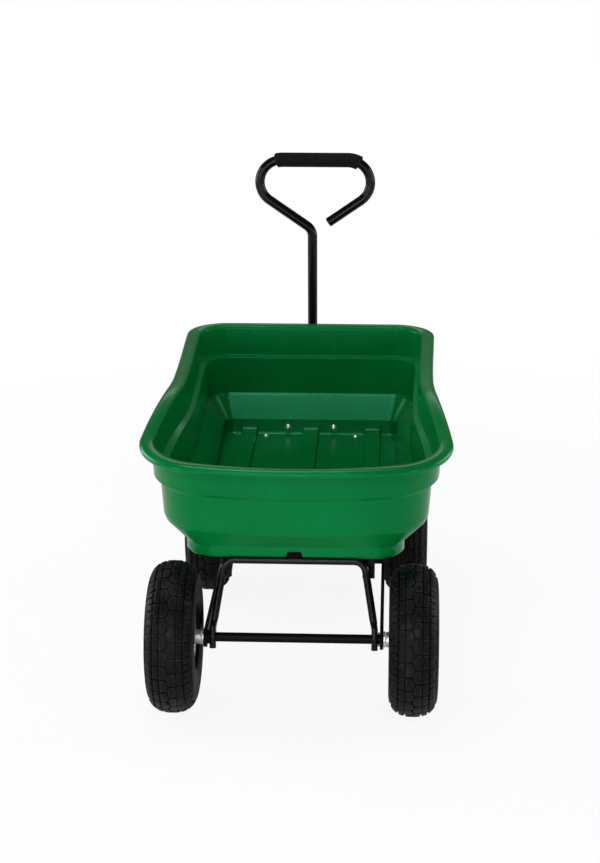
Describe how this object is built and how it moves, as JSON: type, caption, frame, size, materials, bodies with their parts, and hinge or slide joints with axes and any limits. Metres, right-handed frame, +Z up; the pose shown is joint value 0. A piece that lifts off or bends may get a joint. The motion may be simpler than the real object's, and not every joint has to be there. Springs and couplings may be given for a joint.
{
  "type": "garden cart",
  "caption": "Four-wheeled garden cart with a moulded tipping tray, a steered front axle, pneumatic tyres and an upright pull handle with a foam grip.",
  "frame": {"origin": "on the ground, under the middle of the cart's overall width and length", "axes": "+X across the cart to the right as seen from the dump end, +Y forward to the pull handle, +Z up"},
  "size_m": [0.5362, 0.97, 0.829],
  "materials": {
    "green_plastic": "moulded polyethylene, satin gloss",
    "black_steel": "black powder coat",
    "zinc_steel": "zinc plated",
    "tyre_rubber": "moulded tyre rubber",
    "black_rubber": "smooth rubber",
    "foam": "closed-cell foam",
    "nylon": "natural nylon"
  },
  "bodies": {
    "chassis": {"rear_axle": "black_steel", "rear_washers": "zinc_steel", "rear_split_pins": "zinc_steel", "pivot_washers": "black_steel", "side_rails": "black_steel", "crossbar": "black_steel", "spine": "black_steel", "kingpin_sleeve": "black_steel", "latch_stand": "black_steel", "rest_pad": "black_rubber", "latch_pin": "zinc_steel", "latch_spring": "zinc_steel"},
    "steering": {"front_axle": "black_steel", "front_spacers": "black_steel", "front_washers": "zinc_steel", "front_split_pins": "zinc_steel", "steering_yoke": "black_steel", "kingpin": "zinc_steel", "thrust_washer": "zinc_steel", "tongue": "black_steel", "handle_pivot_bolt": "zinc_steel"},
    "handle": {"handle_tube": "black_steel", "handle_fork": "black_steel", "grip": "foam"},
    "tray": {"tray": "green_plastic", "hoop": "black_steel", "bearer_left": "black_steel", "bearer_right": "black_steel", "front_strap": "black_steel", "striker_plate": "black_steel", "tray_bolts": "zinc_steel"},
    "latch": {"latch_lever": "black_steel"},
    "wheel_rear_left": {"tyre_rear_left": "tyre_rubber", "inner_tube_rear_left": "black_rubber", "rim_outer_rear_left": "zinc_steel", "rim_inner_rear_left": "zinc_steel", "hub_rear_left": "zinc_steel", "bushes_rear_left": "nylon", "rim_bolts_rear_left": "zinc_steel"},
    "wheel_rear_right": {"tyre_rear_right": "tyre_rubber", "inner_tube_rear_right": "black_rubber", "rim_outer_rear_right": "zinc_steel", "rim_inner_rear_right": "zinc_steel", "hub_rear_right": "zinc_steel", "bushes_rear_right": "nylon", "rim_bolts_rear_right": "zinc_steel"},
    "wheel_front_left": {"tyre_front_left": "tyre_rubber", "inner_tube_front_left": "black_rubber", "rim_outer_front_left": "zinc_steel", "rim_inner_front_left": "zinc_steel", "hub_front_left": "zinc_steel", "bushes_front_left": "nylon", "rim_bolts_front_left": "zinc_steel"},
    "wheel_front_right": {"tyre_front_right": "tyre_rubber", "inner_tube_front_right": "black_rubber", "rim_outer_front_right": "zinc_steel", "rim_inner_front_right": "zinc_steel", "hub_front_right": "zinc_steel", "bushes_front_right": "nylon", "rim_bolts_front_right": "zinc_steel"}
  },
  "joints": [
    {"name": "wheel_rear_left_spin", "type": "hinge", "parent": "chassis", "child": "wheel_rear_left", "pos_m": [-0.204, -0.355, 0.13], "axis": [1, 0, 0], "continuous": true},
    {"name": "wheel_rear_right_spin", "type": "hinge", "parent": "chassis", "child": "wheel_rear_right", "pos_m": [0.204, -0.355, 0.13], "axis": [1, 0, 0], "continuous": true},
    {"name": "wheel_front_left_spin", "type": "hinge", "parent": "steering", "child": "wheel_front_left", "pos_m": [-0.204, 0.215, 0.13], "axis": [1, 0, 0], "continuous": true},
    {"name": "wheel_front_right_spin", "type": "hinge", "parent": "steering", "child": "wheel_front_right", "pos_m": [0.204, 0.215, 0.13], "axis": [1, 0, 0], "continuous": true},
    {"name": "steering_turn", "type": "hinge", "parent": "chassis", "child": "steering", "pos_m": [0, 0.215, 0.17], "axis": [0, 0, 1], "range_deg": [-25, 25]},
    {"name": "handle_pitch", "type": "hinge", "parent": "steering", "child": "handle", "pos_m": [0, 0.471, 0.1457], "axis": [-1, 0, 0], "range_deg": [0, 100]},
    {"name": "tray_tip", "type": "hinge", "parent": "chassis", "child": "tray", "pos_m": [0, -0.355, 0.13], "axis": [1, 0, 0], "range_deg": [0, 80]},
    {"name": "latch_release", "type": "hinge", "parent": "chassis", "child": "latch", "pos_m": [0, 0.3856, 0.215], "axis": [-1, 0, 0], "range_deg": [0, 25], "stiffness_Nm_per_rad": 0.6, "springref_deg": -28.65}
  ]
}
